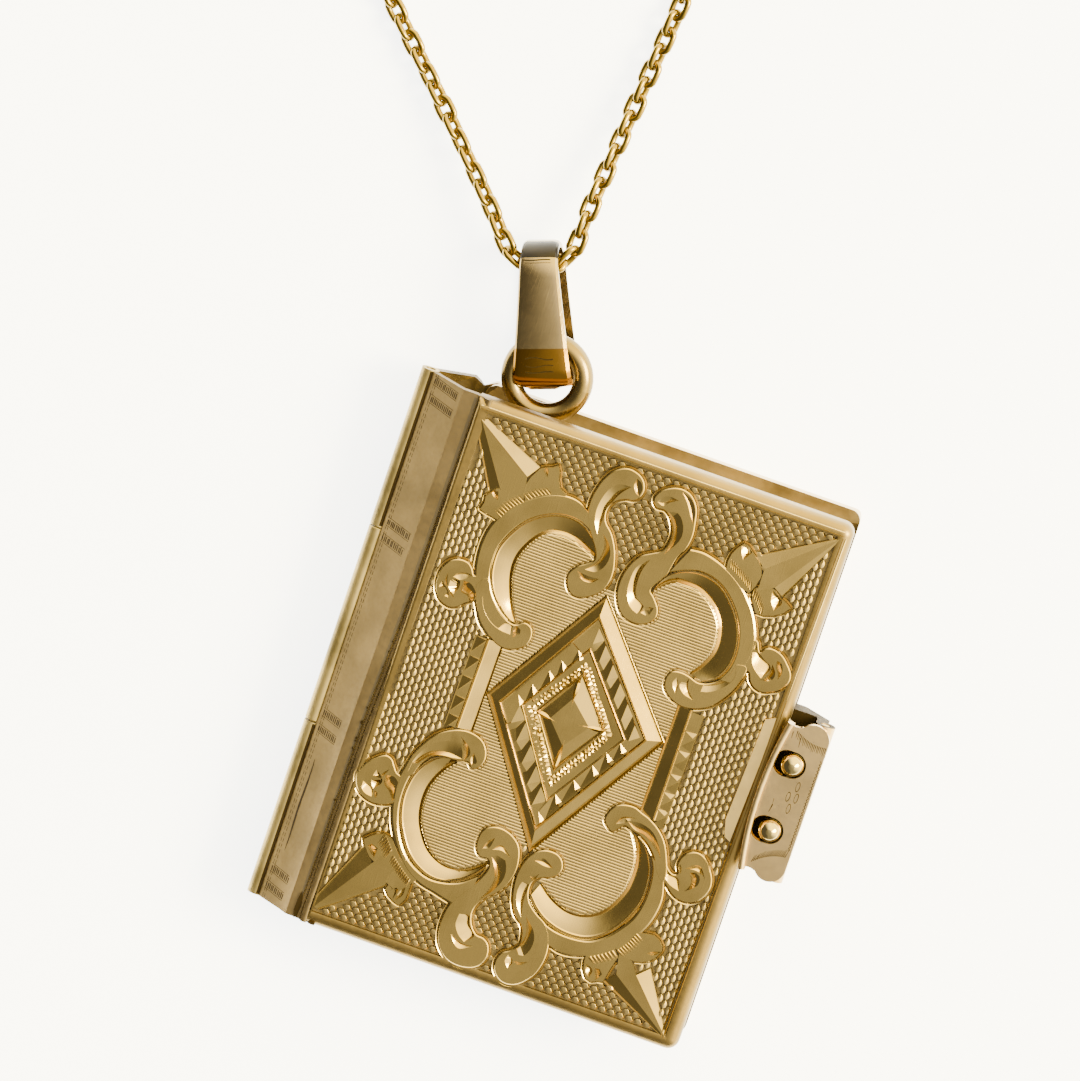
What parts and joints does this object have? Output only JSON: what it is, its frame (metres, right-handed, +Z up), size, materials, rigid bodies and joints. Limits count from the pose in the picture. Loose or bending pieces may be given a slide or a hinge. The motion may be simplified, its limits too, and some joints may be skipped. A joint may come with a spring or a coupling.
{
  "type": "book locket",
  "caption": "Book-shaped gold locket with relief covers, spine hinge, fore-edge clasp with ball studs, soldered ring, strap bail and a cable chain to wear it round the neck.",
  "frame": {"origin": "centre of the back board's flat outer face, which rests on the surface", "axes": "+Y along the spine towards the ring and chain, +X from the spine to the clasp, +Z up through the front cover"},
  "size_m": [0.1201, 0.211, 0.0058],
  "materials": {
    "locket_gold": "worn pale gold, engine-turned and bright-cut, tarnished in the recesses",
    "clasp_gold": "satin pale gold with fine scratches",
    "pin_gold": "dull gold",
    "bail_gold": "greyish satin gold with fine scratches and amber reflections",
    "chain_gold": "polished yellow gold"
  },
  "bodies": {
    "back": {"back_leaf": "locket_gold", "hinge_pin": "pin_gold", "clasp_pin": "pin_gold", "bail": "bail_gold", "chain_left": "chain_gold", "chain_right": "chain_gold", "chain_clasp": "chain_gold"},
    "front": {"front_leaf": "locket_gold"},
    "clasp": {"clasp_plate": "clasp_gold"}
  },
  "joints": [
    {"name": "cover_hinge", "type": "hinge", "parent": "back", "child": "front", "pos_m": [-0.01255, 0, 0.00246], "axis": [0, -1, 0], "range_deg": [0, 175]},
    {"name": "clasp_hinge", "type": "hinge", "parent": "back", "child": "clasp", "pos_m": [0.01165, 0, 0.00442], "axis": [0, 1, 0], "range_deg": [0, 110]}
  ]
}
